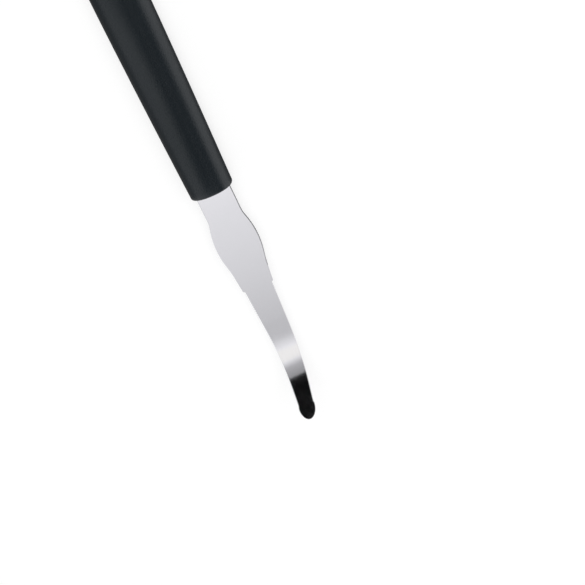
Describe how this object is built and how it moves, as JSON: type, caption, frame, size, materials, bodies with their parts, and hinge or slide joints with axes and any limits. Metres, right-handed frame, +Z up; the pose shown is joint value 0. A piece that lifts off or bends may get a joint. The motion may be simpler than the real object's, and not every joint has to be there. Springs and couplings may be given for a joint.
{
  "type": "grapefruit knife",
  "caption": "Grapefruit knife: slim serrated blade, sharp along both sides, with a rounded bulge near the neck and an upturned tip, in an oval black moulded handle with a hanging hole.",
  "frame": {"origin": "on the floor under the middle of the knife's length, with the knife lying on its handle and its concave face up", "axes": "+X along the knife towards the tip, +Y across the blade, +Z up, out of the blade's concave face"},
  "size_m": [0.2182, 0.0228, 0.0331],
  "materials": {
    "blade_steel": "bright stainless, finely brushed along the blade",
    "handle_plastic": "black moulded plastic with a fine even grain"
  },
  "bodies": {
    "root": {"blade": "blade_steel", "handle": "handle_plastic"}
  },
  "joints": []
}
